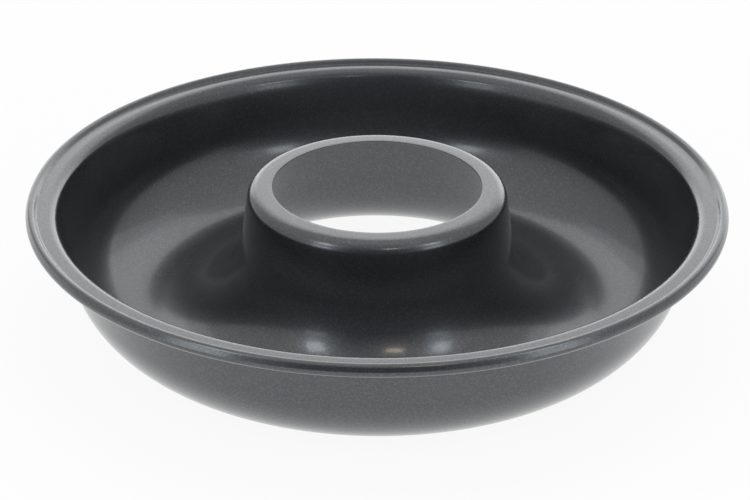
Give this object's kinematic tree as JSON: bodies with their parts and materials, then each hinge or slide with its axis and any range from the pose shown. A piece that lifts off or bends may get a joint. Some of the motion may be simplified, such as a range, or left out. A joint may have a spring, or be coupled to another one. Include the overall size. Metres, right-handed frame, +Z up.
{
  "type": "savarin mould",
  "caption": "Ring-shaped baking mould: round-bottomed trough about an open chimney, pressed from coated steel, with a flanged rim rolled over a wire.",
  "frame": {"origin": "on the table, where the mould's axis meets it", "axes": "+Z up along the mould's axis, out of the open side of the trough; the mould is the same all the way round, so X and Y are free, and the wire's two ends meet at +X"},
  "size_m": [0.24, 0.24, 0.0465],
  "materials": {
    "coat": "dark grey non-stick coat, semi-gloss, with a fine speckle",
    "wire": "plain drawn steel wire"
  },
  "bodies": {
    "root": {"mould_shell": "coat", "rim_wire": "wire"}
  },
  "joints": []
}
